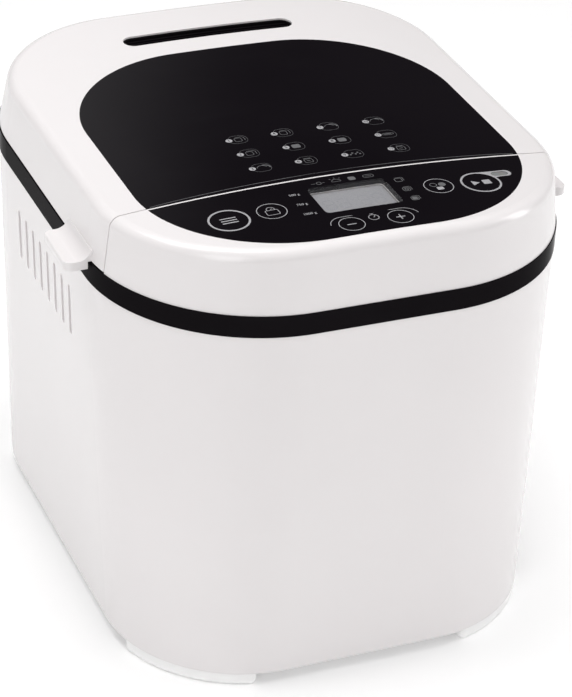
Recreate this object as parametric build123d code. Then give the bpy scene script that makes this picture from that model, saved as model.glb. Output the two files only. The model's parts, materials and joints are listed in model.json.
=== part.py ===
from build123d import *
from collections import namedtuple
import math
import os

# Compact bread machine. Millimetres, +Z up, front towards -Y.
# The origin is the centre of the footprint, on the surface the feet stand on.

# Outer form: plan sections from the casing's foot to above the lid.
Form = namedtuple("Form", "z half front back front_r back_r")
BASE = Form(7.0, 114.3, -151.0, 146.0, 72.0, 72.0)
WAIST = Form(203.7, 122.5, -151.0, 151.0, 86.0, 88.0)
COLLAR = WAIST._replace(z=215.2)
SHOULDER = Form(250.0, 118.6, -148.6, 127.0, 83.0, 68.0)
FORMS = (BASE, WAIST, COLLAR, SHOULDER)
CROWN_TOP = 248.8
CROWN_RADIUS = 1614.0
RIM_ROUND = 6.0

# Walls, gaps and fits
WALL = 2.6
SKIN_STEP = 0.5
PART_GAP = 0.6
BUTTON_GAP = 0.3
RUNNING = 0.05
BELT_GAP = 0.3

# Top: split line between control housing and lid, glass, display, vent
SPLIT_MID = -82.0
SPLIT_RADIUS = 2090.0
FASCIA_LIP = 1.0
GLASS = dict(half=99.6, front=-142.4, back=71.2, front_r=73.0, back_r=71.0)
GLASS_THICK = 3.0
TOP_WALL = 2.6
LID_WALL = 3.0
DISPLAY = dict(x=0.4, y=-105.4, width=40.4, depth=26.0, corner=2.5)
VENT = dict(y=92.5, length=96.0, width=12.0, bars=3)
TAB = dict(y0=-73.0, y1=-38.0, tip=135.2, low=211.8, high=216.3, blend=221.5)

# Side louvres
LOUVRE = dict(count=8, pitch=11.7, first_y=-37.4, low=155.0, high=183.5, width=3.4, slit=1.0)

# Buttons: name, centre x, centre y, radius
BUTTONS = (
    ("menu_button", -65.8, -109.2, 9.2),
    ("crust_button", -43.6, -107.8, 7.0),
    ("minus_button", -12.6, -132.0, 6.0),
    ("plus_button", 12.6, -132.0, 6.0),
    ("size_button", 43.6, -107.8, 7.0),
    ("start_button", 65.8, -109.2, 9.2),
)
BUTTON_TRAVEL = 1.0
LAMP = dict(x=79.0, y=-102.4, length=8.4, width=3.6)

# Inside the front of the top: circuit board and switches
BOARD_Z = 233.0
BOARD_THICK = 1.6
SWITCH_TOP = BOARD_Z + BOARD_THICK + 3.2

# Hinge
HINGE_Y, HINGE_Z = 146.0, 219.5
LUG_X, LUG_HALF, LUG_R = 34.0, 7.5, 3.4
PIN_R = 1.6
HINGE_SWEEP = 4.0
LID_LOW = COLLAR.z + PART_GAP

# Baking chamber and pan
CHAMBER_Y = 21.0
CHAMBER_HALF_X, CHAMBER_HALF_Y = 84.0, 91.0
CHAMBER_FLOOR, CHAMBER_CORNER = 50.0, 22.0
DECK_LOW, DECK_HIGH = 209.2, 212.2
SHEET = 1.0
PAN_HALF_X, PAN_HALF_Y, PAN_CORNER = 62.0, 76.0, 20.0
PAN_DRAFT, PAN_LOW, PAN_HIGH, PAN_WALL = 6.0, 66.0, 196.0, 1.6
HANDLE_PIVOT_Z, HANDLE_REACH, HANDLE_X, HANDLE_WIRE = 186.0, 45.0, 69.0, 2.0
HANDLE_REST = 18.5

# Drive line
MOTOR_Y = -112.0
SPINDLE_R = 5.0
PULLEY_LOW, PULLEY_HIGH = 14.0, 26.0
BIG_PULLEY_R, SMALL_PULLEY_R = 45.0, 9.0
BELT_THICK, BELT_LOW, BELT_HIGH = 1.8, 16.5, 23.5
MOTOR_LOW, MOTOR_HIGH, MOTOR_R = 34.0, 100.0, 29.0
ROTOR_R, MOTOR_SHAFT_R = 24.0, 4.0

# Feet: crescents between two angles of each corner
FOOT = dict(inner=9.0, start=16.0, end=78.0, chamfer=2.2)
FOOT_TOP = BASE.z

# Heating element, temperature probe, cord entry
ELEMENT_Z, ELEMENT_R = 82.0, 3.2
ELEMENT_PORTS = (-30.0, 30.0)
SENSOR_X, SENSOR_Z = 0.0, 120.0
GLAND_X, GLAND_Z, CORD_SIZE = 60.0, 34.0, 16.0


# ---------- shared shapes ----------

def plan(half, front, back, front_r, back_r):
    """Rounded rectangle seen from above, with its own front and back corner radii."""
    sketch = Pos(0, (front + back) / 2) * Rectangle(2 * half, back - front)
    sketch = fillet(sketch.vertices().sort_by(Axis.Y)[:2], front_r)
    return fillet(sketch.vertices().sort_by(Axis.Y)[-2:], back_r)


def section(z, inset=0.0):
    """Outer form at height z, drawn in by inset all round."""
    low, high = next(pair for pair in zip(FORMS, FORMS[1:]) if z <= pair[1].z)
    t = (z - low.z) / (high.z - low.z)
    half, front, back, front_r, back_r = (a + (b - a) * t for a, b in zip(low[1:], high[1:]))
    return Pos(0, 0, z) * plan(half - inset, front + inset, back - inset, front_r - inset, back_r - inset)


def block(z0, z1, inset=0.0):
    """Solid of the outer form between two heights."""
    return loft([section(z0, inset), section(z1, inset)], ruled=True)


def box(x0, x1, y0, y1, z0, z1):
    size = Box(abs(x1 - x0), abs(y1 - y0), abs(z1 - z0))
    return Pos((x0 + x1) / 2, (y0 + y1) / 2, (z0 + z1) / 2) * size


def rod(x, y, z0, z1, radius):
    """Upright cylinder."""
    return Pos(x, y, (z0 + z1) / 2) * Cylinder(radius, z1 - z0)


def tube(x, y, z0, z1, outer, inner):
    return rod(x, y, z0, z1, outer) - rod(x, y, z0, z1, inner)


def cross_rod(x0, x1, y, z, radius):
    """Cylinder along X."""
    return Pos((x0 + x1) / 2, y, z) * Rot(0, 90, 0) * Cylinder(radius, x1 - x0)


def along_y(x, y0, y1, z, radius):
    """Cylinder along Y."""
    return Pos(x, (y0 + y1) / 2, z) * Rot(90, 0, 0) * Cylinder(radius, abs(y1 - y0))


def prism(face, z0, z1):
    """A plan face raised from z0 to z1."""
    return extrude(Pos(0, 0, z0) * face, z1 - z0)


def rounded(x, y, width, depth, corner):
    return Pos(x, y) * RectangleRounded(width, depth, corner)


def below_crown(drop=0.0):
    """Everything under the gently crowned top, or under a copy of it lowered by drop."""
    reach, floor = 140.0, 190.0
    top = CROWN_TOP - drop
    edge = top - reach**2 / (2 * CROWN_RADIUS)
    arc = ThreePointArc((-reach, 0, edge), (0, 0, top), (reach, 0, edge))
    corners = [(reach, 0, edge), (reach, 0, floor), (-reach, 0, floor), (-reach, 0, edge)]
    face = make_face([arc] + [Line(a, b) for a, b in zip(corners, corners[1:])])
    return extrude(face, amount=170, both=True)


def crown_z(x, drop=0.0):
    return CROWN_TOP - drop - x**2 / (2 * CROWN_RADIUS)


def top_form():
    """Outer solid of the whole top, control housing and lid together."""
    form = block(COLLAR.z, SHOULDER.z, SKIN_STEP) & below_crown()
    return fillet(form.faces().sort_by(Axis.Z)[-1].edges(), RIM_ROUND)


def split_y(x, shift=0.0):
    return SPLIT_MID + shift - x**2 / (2 * SPLIT_RADIUS)


def front_zone(shift=0.0):
    """Everything ahead of the bowed split line."""
    reach, ahead = 140.0, -200.0
    ends = split_y(reach, shift)
    arc = ThreePointArc((-reach, ends), (0, split_y(0, shift)), (reach, ends))
    corners = [(reach, ends), (reach, ahead), (-reach, ahead), (-reach, ends)]
    face = make_face([arc] + [Line(a, b) for a, b in zip(corners, corners[1:])])
    return prism(face, 180, 270)


def top_cavity():
    """Hollow under the top's walls and under the glass and its support."""
    return block(COLLAR.z, SHOULDER.z, SKIN_STEP + LID_WALL) & below_crown(GLASS_THICK + TOP_WALL)


def glass_prism(grow=0.0):
    face = plan(GLASS["half"] + grow, GLASS["front"] - grow, GLASS["back"] + grow,
                GLASS["front_r"] + grow, GLASS["back_r"] + grow)
    return prism(face, 190, 270)


def display_prism(shrink=0.0):
    face = rounded(DISPLAY["x"], DISPLAY["y"], DISPLAY["width"] - 2 * shrink,
                   DISPLAY["depth"] - 2 * shrink, DISPLAY["corner"])
    return prism(face, 190, 270)


def lamp_prism():
    slot = Pos(LAMP["x"], LAMP["y"]) * SlotOverall(LAMP["length"], LAMP["width"])
    return prism(slot, 190, 270)


TOP = top_form()
CAVITY = top_cavity()
GLASS_BLOCK = (TOP & glass_prism()) - below_crown(GLASS_THICK)
SEAT_CUT = glass_prism() - below_crown(GLASS_THICK)


# ---------- casing ----------

def body_shell():
    """Open-ended casing with a neck for the trim band, louvres and four screw posts."""
    outer = block(BASE.z, WAIST.z, SKIN_STEP)
    shell = outer - block(BASE.z, WAIST.z, SKIN_STEP + WALL)
    neck_low, neck_high = WAIST.z - 4, DECK_HIGH
    neck = prism(plan(*inset_form(WAIST, 2.9)), neck_low, neck_high)
    neck -= prism(plan(*inset_form(WAIST, 5.0)), neck_low, neck_high)
    shell += neck
    hollow = block(BASE.z, WAIST.z, SKIN_STEP + WALL - 0.3)
    for x, y in post_places():
        rib = box(x - 1.2, x + 1.2, y, y + math.copysign(60, y), 12.5, 40)
        shell += (rib & hollow) + rod(x, y, 10.5, 44, 4.5)
    for x, y in post_places():
        shell -= rod(x, y, 10.5, 30, 1.5)
    for side in (-1, 1):
        shell -= louvres(side)
    return shell - along_y(GLAND_X, BASE.back - 20, BASE.back + 20, GLAND_Z, CORD_SIZE / 2)


def inset_form(form, inset):
    return (form.half - inset, form.front + inset, form.back - inset,
            form.front_r - inset, form.back_r - inset)


def post_places():
    return [(x, y) for x in (-72, 72) for y in (-112, 108)]


def louvres(side):
    """Upright grooves in a side wall, each with a narrow slit through its rear edge."""
    cuts = []
    mid_z = (LOUVRE["low"] + LOUVRE["high"]) / 2
    height = LOUVRE["high"] - LOUVRE["low"]
    low_t = (mid_z - BASE.z) / (WAIST.z - BASE.z)
    wall_x = BASE.half + (WAIST.half - BASE.half) * low_t - SKIN_STEP
    lean = math.degrees(math.atan((WAIST.half - BASE.half) / (WAIST.z - BASE.z)))
    for i in range(LOUVRE["count"]):
        y = LOUVRE["first_y"] + i * LOUVRE["pitch"]
        groove = Box(2.6, LOUVRE["width"], height)
        groove = fillet(groove.edges().filter_by(Axis.X), LOUVRE["width"] / 2 - 0.05)
        slit = Pos(0, LOUVRE["width"] / 2 - LOUVRE["slit"] / 2 - 0.2, 0) * Box(8, LOUVRE["slit"], height - 4)
        place = Pos(side * wall_x, y, mid_z) * Rot(0, side * lean, 0)
        cuts += [place * groove, place * slit]
    return cuts


def trim_band():
    outer = prism(plan(*WAIST[1:]), WAIST.z, COLLAR.z)
    return outer - prism(plan(*inset_form(WAIST, 2.8)), WAIST.z, COLLAR.z)


def top_deck():
    """Inner plate that carries the chamber flange, the control housing and the hinge."""
    plate = prism(plan(*inset_form(WAIST, 5.2)), DECK_LOW, DECK_HIGH)
    opening = rounded(0, CHAMBER_Y, 2 * CHAMBER_HALF_X + 3, 2 * CHAMBER_HALF_Y + 3, CHAMBER_CORNER)
    wiring = rounded(0, -108, 120, 44, 8)
    return plate - prism(opening, 200, 220) - prism(wiring, 200, 220)


def base_plate():
    """Bottom cover with a raised stiffening rim and counterbored screw holes."""
    plate = prism(plan(*inset_form(BASE, 3.6)), BASE.z, BASE.z + 3)
    rim = prism(plan(*inset_form(BASE, 12)), BASE.z + 3, BASE.z + 5)
    rim -= prism(plan(*inset_form(BASE, 14)), BASE.z + 3, BASE.z + 5)
    plate += rim
    for x, y in post_places():
        plate -= rod(x, y, 0, 20, 1.8) + rod(x, y, BASE.z, BASE.z + 1.8, 3.4)
    return plate


def base_screws():
    head = [rod(x, y, BASE.z + 0.2, BASE.z + 1.8, 3.1) + rod(x, y, BASE.z + 1.8, 26, 1.5)
            for x, y in post_places()]
    return Compound(children=head)


def foot(side_x, side_y):
    """Crescent foot that follows a corner of the casing."""
    outer_r = BASE.front_r - 0.6
    centre_x, front_y = BASE.half - BASE.front_r, (-BASE.front if side_y < 0 else BASE.back)
    ring = Circle(outer_r) - Circle(outer_r - FOOT["inner"])
    wedge = Polygon([(0, 0)] + [(200 * math.cos(math.radians(a)), 200 * math.sin(math.radians(a)))
                                for a in (FOOT["start"], (FOOT["start"] + FOOT["end"]) / 2, FOOT["end"])],
                    align=None)
    face = ring & wedge
    face = fillet(face.vertices(), 3.0)
    solid = extrude(face, FOOT_TOP)
    solid = chamfer(solid.faces().sort_by(Axis.Z)[0].edges(), FOOT["chamfer"], 1.2)
    solid = Pos(centre_x, front_y - BASE.front_r, 0) * solid
    if side_y < 0:
        solid = mirror(solid, Plane.XZ)
    return mirror(solid, Plane.YZ) if side_x < 0 else solid


# ---------- control housing ----------

def button_drop(x, radius):
    """Underside of the housing's top wall over a button's outer edge."""
    return crown_z(abs(x) + radius + 1.6, GLASS_THICK + TOP_WALL)


def control_fascia():
    """White front housing: crowned top with a seat for the glass, hollow behind."""
    shell = TOP & front_zone()
    shell -= CAVITY & front_zone(-LID_WALL)
    shell -= SEAT_CUT & front_zone(-FASCIA_LIP)
    for _, x, y, radius in BUTTONS:
        shell -= rod(x, y, 225, 255, radius)
    shell -= display_prism(0.5)
    return shell - lamp_prism()


def control_panel():
    panel = GLASS_BLOCK & front_zone(-FASCIA_LIP)
    for _, x, y, radius in BUTTONS:
        panel -= rod(x, y, 225, 255, radius)
    return panel - display_prism() - lamp_prism()


def lcd_window():
    """Smoked window set just below the glass."""
    return (display_prism() & below_crown(0.8)) - below_crown(GLASS_THICK)


def lcd_module():
    top = crown_z(DISPLAY["width"] / 2, GLASS_THICK + TOP_WALL) - 0.4
    x, y = DISPLAY["x"], DISPLAY["y"]
    bezel = prism(rounded(x, y, 46, 31, 1.5), BOARD_Z + BOARD_THICK, top)
    face = rounded(x, y, DISPLAY["width"] - 1.8, DISPLAY["depth"] - 1.8, DISPLAY["corner"])
    cell = prism(face, top - 1, top + 2.6)
    return bezel + cell


def start_lamp():
    top = (lamp_prism() & below_crown(0.05)) - below_crown(GLASS_THICK + TOP_WALL)
    return top


def push_button(x, y, radius):
    """Button cap flush with the glass, with a retaining flange and a stem below."""
    low = button_drop(x, radius) - 0.3
    cap = rod(x, y, low - 1, 252, radius - BUTTON_GAP) & below_crown(0.05)
    flange = rod(x, y, low - 1.2, low, radius + 1.4)
    return cap + flange + rod(x, y, SWITCH_TOP + BUTTON_TRAVEL + 0.2, low - 1, 2.4)


def control_board():
    board = prism(rounded(0, -113.5, 140, 48, 4), BOARD_Z, BOARD_Z + BOARD_THICK)
    for x, y in board_post_places():
        board -= rod(x, y, 220, 240, 1.6)
    return board


def board_post_places():
    return [(x, y) for x in (-66, 66) for y in (-134, -94)]


def board_posts():
    """Screwed posts that hang the control board from the deck's front edge."""
    return Compound(children=[rod(x, y, DECK_HIGH, BOARD_Z, 3.2) + rod(x, y, BOARD_Z, BOARD_Z + 3, 1.5)
                              for x, y in board_post_places()])


def button_switches():
    base = BOARD_Z + BOARD_THICK
    switches = []
    for _, x, y, _ in BUTTONS:
        can = box(x - 3, x + 3, y - 3, y + 3, base, base + 2.2)
        switches.append(can + rod(x, y, base + 2.2, SWITCH_TOP, 1.5))
    return Compound(children=switches)


def buzzer():
    base = BOARD_Z + BOARD_THICK
    return rod(30, -98, base, base + 3.5, 5) - rod(30, -98, base + 2.5, base + 3.5, 1)


# ---------- lid ----------

def tab(side):
    """Grip tab that flares out of the lid's side over the trim band."""
    inner, tip, low, high = 119.8, TAB["tip"], TAB["low"], TAB["high"]
    points = [(inner, LID_LOW), (123.4, LID_LOW), (123.4, low), (tip - 1, low)]
    edges = [Line(a, b) for a, b in zip(points, points[1:])]
    edges += [
        ThreePointArc((tip - 1, low), (tip - 0.3, low + 0.3), (tip, low + 1)),
        Line((tip, low + 1), (tip, high - 1)),
        ThreePointArc((tip, high - 1), (tip - 0.3, high - 0.3), (tip - 1, high)),
        Line((tip - 1, high), (129.5, high + 0.1)),
        ThreePointArc((129.5, high + 0.1), (124.4, high + 1.4), (121.6, TAB["blend"])),
        Line((121.6, TAB["blend"]), (inner, TAB["blend"])),
        Line((inner, TAB["blend"]), (inner, LID_LOW)),
    ]
    face = Plane.XZ * make_face(edges)
    length = TAB["y1"] - TAB["y0"]
    solid = Pos(0, TAB["y1"], 0) * extrude(face, length)
    solid &= prism(Pos(tip - 20, TAB["y1"] - length / 2) * RectangleRounded(40, length, 5), low - 5, 240)
    return mirror(solid, Plane.YZ) if side < 0 else solid


def vent_prism(shrink=0.0):
    slot = Pos(0, VENT["y"]) * SlotOverall(VENT["length"] - 2 * shrink, VENT["width"] - 2 * shrink)
    return prism(slot, 190, 270)


def hinge_ears():
    """Ribs each side of the two hinge notches, bored for the pins."""
    ears = None
    for lug in (-LUG_X, LUG_X):
        for side in (-1, 1):
            x0 = lug + side * (LUG_HALF + 0.4)
            x1 = x0 + side * 3.0
            ear = box(min(x0, x1), max(x0, x1), HINGE_Y - HINGE_SWEEP, 155, LID_LOW, 240)
            ears = ear if ears is None else ears + ear
    return ears


def lid_frame():
    """White lid shell: seat for the glass, vent slot, side tabs and hinge ears."""
    shell = TOP - front_zone(PART_GAP)
    shell -= CAVITY - front_zone(PART_GAP + LID_WALL)
    shell -= box(-130, 130, -160, 160, 200, LID_LOW)
    shell -= SEAT_CUT - front_zone(PART_GAP)
    shell += (TOP & hinge_ears())
    sweep_box = box(-130, 130, HINGE_Y, 160, 200, HINGE_Z)
    shell -= sweep_box - cross_rod(-130, 130, HINGE_Y, HINGE_Z, HINGE_SWEEP)
    for lug in (-LUG_X, LUG_X):
        half = LUG_HALF + 0.4
        shell -= box(lug - half, lug + half, HINGE_Y - 6, 160, 205, HINGE_Z + 5)
        shell -= cross_rod(lug - half - 3, lug + half + 3, HINGE_Y, HINGE_Z, PIN_R)
    shell -= vent_prism()
    for side in (-1, 1):
        shell += tab(side)
    return shell


def lid_glass():
    return GLASS_BLOCK - front_zone(PART_GAP)


def vent_grille():
    """Dark insert: a stadium frame with lengthwise bars, sunk below the lid's top."""
    body = (vent_prism() & below_crown(0.9)) - below_crown(GLASS_THICK + TOP_WALL)
    inner = vent_prism(1.4)
    bars = []
    for i in range(VENT["bars"]):
        y = VENT["y"] + (i - (VENT["bars"] - 1) / 2) * 2.9
        bars.append(box(-60, 60, y - 0.6, y + 0.6, 238, 250))
    grille = body - inner
    for bar in bars:
        grille += (bar & inner & below_crown(1.9)) - below_crown(GLASS_THICK + TOP_WALL)
    return grille


def hinge_pins():
    return Compound(children=[cross_rod(lug - LUG_HALF - 3.4, lug + LUG_HALF + 3.4, HINGE_Y, HINGE_Z, PIN_R)
                              for lug in (-LUG_X, LUG_X)])


def inner_dome(grow=0.0):
    """Recess of the inner lid over the pan and its handle."""
    low = rounded(0, CHAMBER_Y, 164 + 2 * grow, 172 + 2 * grow, 26 + grow)
    high = rounded(0, CHAMBER_Y, 148 + 2 * grow, 152 + 2 * grow, 22 + grow)
    return loft([Pos(0, 0, 217.2) * low, Pos(0, 0, 237 + grow) * high], ruled=True)


def lid_inner():
    """Pressed inner panel, flanged all round, with steam slots under the vent."""
    flange = block(COLLAR.z, SHOULDER.z, SKIN_STEP + LID_WALL) & box(-130, 130, -160, 138, 217.2, 218.2)
    flange -= front_zone(PART_GAP + LID_WALL)
    panel = flange + inner_dome(SHEET) - inner_dome()
    for i in range(5):
        x = (i - 2) * 18
        panel -= box(x - 6, x + 6, CHAMBER_Y + 62, CHAMBER_Y + 65, 230, 245)
    return panel


def lid_seal():
    """Silicone ring between the inner lid and the chamber flange."""
    outer = rounded(0, CHAMBER_Y, 180, 194, 28)
    inner = rounded(0, CHAMBER_Y, 172, 186, 24)
    return prism(outer, DECK_HIGH + SHEET + 0.4, 217.2) - prism(inner, 200, 230)


# ---------- hinge ----------

def hinge_brackets():
    """Two lugs on the deck, each on its own foot plate."""
    lugs = []
    for x in (-LUG_X, LUG_X):
        foot_plate = box(x - LUG_HALF, x + LUG_HALF, 128, 145, DECK_HIGH, DECK_HIGH + 2)
        stem = box(x - LUG_HALF, x + LUG_HALF, HINGE_Y - LUG_R, 145, DECK_HIGH, HINGE_Z)
        head = cross_rod(x - LUG_HALF, x + LUG_HALF, HINGE_Y, HINGE_Z, LUG_R)
        bore = cross_rod(x - 20, x + 20, HINGE_Y, HINGE_Z, PIN_R + RUNNING)
        lugs.append(foot_plate + stem + head - bore)
    return Compound(children=lugs)


# ---------- baking chamber ----------

def chamber_face(grow=0.0):
    return rounded(0, CHAMBER_Y, 2 * (CHAMBER_HALF_X + grow), 2 * (CHAMBER_HALF_Y + grow),
                   CHAMBER_CORNER + grow)


def oven_chamber():
    """Sheet-steel box with a rolled-out flange that rests on the deck."""
    flange_top = DECK_HIGH + SHEET
    chamber = prism(chamber_face(SHEET), CHAMBER_FLOOR - SHEET, flange_top)
    chamber += prism(chamber_face(8), DECK_HIGH, flange_top)
    chamber -= prism(chamber_face(), CHAMBER_FLOOR, flange_top)
    chamber -= rod(0, CHAMBER_Y, 40, 60, 12)
    front = CHAMBER_Y - CHAMBER_HALF_Y
    for x in ELEMENT_PORTS:
        chamber -= Pos(x, front, ELEMENT_Z) * Rot(90, 0, 0) * Cylinder(5, 10)
    return chamber - Pos(SENSOR_X, front, SENSOR_Z) * Rot(90, 0, 0) * Cylinder(3.2, 10)


def heating_element():
    """Sheathed tube round the lower pan, both ends leaving through the front wall."""
    half_x, back, front = 74.0, CHAMBER_Y + 83, CHAMBER_Y - 83
    end_y = CHAMBER_Y - CHAMBER_HALF_Y - 10
    left, right = ELEMENT_PORTS
    path = FilletPolyline(
        (left, end_y, ELEMENT_Z), (left, front, ELEMENT_Z), (-half_x, front, ELEMENT_Z),
        (-half_x, back, ELEMENT_Z), (half_x, back, ELEMENT_Z), (half_x, front, ELEMENT_Z),
        (right, front, ELEMENT_Z), (right, end_y, ELEMENT_Z),
        radius=[6, 18, 18, 18, 18, 6])
    return sweep(path.location_at(0, x_dir=(0, 0, 1)) * Circle(ELEMENT_R), path)


def element_insulators():
    parts = []
    wall = CHAMBER_Y - CHAMBER_HALF_Y
    for x in ELEMENT_PORTS:
        sleeve = Pos(x, wall - 2, ELEMENT_Z) * Rot(90, 0, 0) * Cylinder(5, 6)
        collar = Pos(x, wall - 2.5, ELEMENT_Z) * Rot(90, 0, 0) * Cylinder(7, 3)
        bore = Pos(x, wall - 2, ELEMENT_Z) * Rot(90, 0, 0) * Cylinder(ELEMENT_R, 20)
        parts.append(sleeve + collar - bore)
    return Compound(children=parts)


def temperature_sensor():
    wall = CHAMBER_Y - CHAMBER_HALF_Y
    probe = Pos(SENSOR_X, wall - 1, SENSOR_Z) * Rot(90, 0, 0) * Cylinder(3.2, 12)
    nut = Pos(SENSOR_X, wall - SHEET - 2, SENSOR_Z) * Rot(90, 0, 0) * extrude(RegularPolygon(6, 6), 2, both=True)
    return probe + nut


def thermal_fuse():
    """Cut-out clipped to the outside of the chamber's front wall."""
    wall = CHAMBER_Y - CHAMBER_HALF_Y - SHEET
    clip = box(-72, -48, wall - 1, wall, 105, 117)
    can = cross_rod(-68, -52, wall - 3.5, 111, 3)
    return clip + can


def chamber_supports():
    """Four folded legs between the base plate and the chamber floor."""
    legs = []
    low, high = BASE.z + 3, CHAMBER_FLOOR - SHEET
    for x in (-70, 70):
        for y in (CHAMBER_Y - 64, CHAMBER_Y + 64):
            leg = box(x - 8, x + 8, y - 1, y + 1, low, high)
            leg += box(x - 8, x + 8, y - 1, y + 9, low, low + 2)
            leg += box(x - 8, x + 8, y - 1, y + 9, high - 2, high)
            legs.append(leg)
    return Compound(children=legs)


# ---------- pan ----------

def pan_block(shrink, z0, z1):
    """Solid of the pan's outer form, drafted, reduced by shrink."""
    def slice_at(z):
        inward = PAN_DRAFT * (PAN_HIGH - z) / (PAN_HIGH - PAN_LOW) + shrink
        return Pos(0, 0, z) * rounded(0, CHAMBER_Y, 2 * (PAN_HALF_X - inward),
                                      2 * (PAN_HALF_Y - inward), PAN_CORNER - inward / 2)
    return loft([slice_at(z0), slice_at(z1)], ruled=True)


def bread_pan():
    """Drawn pan with a turned-out rim and two ears for the handle."""
    pan = pan_block(0, PAN_LOW, PAN_HIGH)
    lip = rounded(0, CHAMBER_Y, 2 * (PAN_HALF_X + 3), 2 * (PAN_HALF_Y + 3), PAN_CORNER + 3)
    pan += prism(lip, PAN_HIGH - 1.6, PAN_HIGH)
    for side in (-1, 1):
        x0, x1 = sorted((side * (PAN_HALF_X - 1.5), side * 66))
        ear = box(x0, x1, CHAMBER_Y - 7, CHAMBER_Y + 7, HANDLE_PIVOT_Z - 7, PAN_HIGH - 1.6)
        pan += fillet(ear.edges().filter_by(Axis.X).sort_by(Axis.Z)[:2], 5)
    pan -= pan_block(PAN_WALL, PAN_LOW + PAN_WALL, PAN_HIGH)
    for side in (-1, 1):
        x0, x1 = sorted((side * 60.5, side * 70))
        pan -= cross_rod(x0, x1, CHAMBER_Y, HANDLE_PIVOT_Z, HANDLE_WIRE + RUNNING)
    return pan - rod(0, CHAMBER_Y, PAN_LOW - 1, PAN_LOW + 3, 9)


def pan_handle():
    """Wire bail, lying back on the pan's rim, hooked into both ears."""
    corners = [(-63.2, 0), (-HANDLE_X, 0), (-HANDLE_X, HANDLE_REACH), (HANDLE_X, HANDLE_REACH),
               (HANDLE_X, 0), (63.2, 0)]
    path = FilletPolyline(*corners, radius=[2.6, 12, 12, 2.6])
    start = Plane(origin=(-63.2, 0, 0), x_dir=(0, 1, 0), z_dir=(-1, 0, 0))
    wire = sweep(start * Circle(HANDLE_WIRE), path)
    grip = Pos(0, HANDLE_REACH, 0) * Rot(0, 90, 0) * Cylinder(3.0, 60)
    return Pos(0, CHAMBER_Y, HANDLE_PIVOT_Z) * Rot(HANDLE_REST, 0, 0) * (wire + grip)


def pan_base():
    """Ring under the pan with four wings that lock into the seat."""
    ring = tube(0, CHAMBER_Y, PAN_LOW - 9, PAN_LOW, 33, 27)
    for turn in range(4):
        wing = Pos(0, CHAMBER_Y, PAN_LOW - 7.5) * Rot(0, 0, 90 * turn) * Pos(34, 0, 0) * Box(5, 14, 2.4)
        ring += wing
    return ring


def pan_seat():
    """Socket on the chamber floor round the pan's base ring."""
    seat = tube(0, CHAMBER_Y, CHAMBER_FLOOR, CHAMBER_FLOOR + 11, 40, 37.2)
    flange = tube(0, CHAMBER_Y, CHAMBER_FLOOR, CHAMBER_FLOOR + 1.5, 48, 37.2)
    return seat + flange


def pan_bush():
    bush = rod(0, CHAMBER_Y, PAN_LOW - 5, PAN_LOW + 5, 9)
    bush += rod(0, CHAMBER_Y, PAN_LOW - 5, PAN_LOW, 13)
    return bush - rod(0, CHAMBER_Y, 50, 80, SPINDLE_R + RUNNING)


# ---------- drive line ----------

def kneading_paddle():
    """Hub on the paddle shaft with one swept blade."""
    hub = rod(0, CHAMBER_Y, PAN_LOW + 6, PAN_LOW + 28, 9)
    arc = ThreePointArc((6, 0), (26, -5), (46, 2))
    blade_face = make_face([arc, Line((46, 2), (44, 7)), ThreePointArc((44, 7), (26, 1.5), (6, 6)),
                            Line((6, 6), (6, 0))])
    blade = Pos(0, CHAMBER_Y, PAN_LOW + 6) * extrude(blade_face, 24)
    slope = Pos(46, CHAMBER_Y, PAN_LOW + 34) * Rot(0, 30, 0) * Box(40, 40, 20)
    return hub + (blade - slope) - rod(0, CHAMBER_Y, 50, PAN_LOW + 24, SPINDLE_R)


def paddle_shaft():
    return rod(0, CHAMBER_Y, PAN_LOW - 9, PAN_LOW + 24, SPINDLE_R)


def wing_coupling():
    """Two-winged driver under the pan."""
    low, high = PAN_LOW - 11, PAN_LOW - 5.4
    wings = rod(0, CHAMBER_Y, low, high, 8) + box(-15, 15, CHAMBER_Y - 3, CHAMBER_Y + 3, low, high)
    return wings - rod(0, CHAMBER_Y, low + 2, high, SPINDLE_R)


def drive_coupling():
    """Driving dog on the drive shaft, its two pegs each side of the wings."""
    low = CHAMBER_FLOOR + 1.0
    disc = rod(0, CHAMBER_Y, low, low + 3, 17)
    pegs = [box(x - 3, x + 3, CHAMBER_Y + y - 3, CHAMBER_Y + y + 3, low + 3, low + 8)
            for x, y in ((11, 6.4), (-11, -6.4))]
    return disc + pegs - rod(0, CHAMBER_Y, low - 1, low + 2, SPINDLE_R)


def drive_shaft():
    return rod(0, CHAMBER_Y, PULLEY_LOW - 1, CHAMBER_FLOOR + 3.0, SPINDLE_R)


def spindle_bearing():
    """Flanged bearing hung under the chamber floor."""
    high = CHAMBER_FLOOR - SHEET
    bearing = rod(0, CHAMBER_Y, PULLEY_HIGH + 2, high, 11) + rod(0, CHAMBER_Y, high - 3, high, 26)
    return bearing - rod(0, CHAMBER_Y, 20, 60, SPINDLE_R + RUNNING)


def pulley(y, radius, bore, spokes):
    """Flanged belt wheel."""
    wheel = rod(0, y, PULLEY_LOW, PULLEY_HIGH, radius)
    for low in (PULLEY_LOW, PULLEY_HIGH - 1.5):
        wheel += rod(0, y, low, low + 1.5, radius + 2.5)
    for i in range(spokes):
        wheel -= Pos(0, y, 20) * Rot(0, 0, 360 / spokes * i) * Pos(0.6 * radius, 0, 0) * Cylinder(0.2 * radius, 20)
    return wheel - rod(0, y, 0, 40, bore)


def belt_face(grow):
    big = Pos(0, CHAMBER_Y) * Circle(BIG_PULLEY_R + grow)
    small = Pos(0, MOTOR_Y) * Circle(SMALL_PULLEY_R + grow)
    return make_hull(big.edges() + small.edges())


def drive_belt():
    outer = prism(belt_face(BELT_GAP + BELT_THICK), BELT_LOW, BELT_HIGH)
    return outer - prism(belt_face(BELT_GAP), BELT_LOW, BELT_HIGH)


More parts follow.
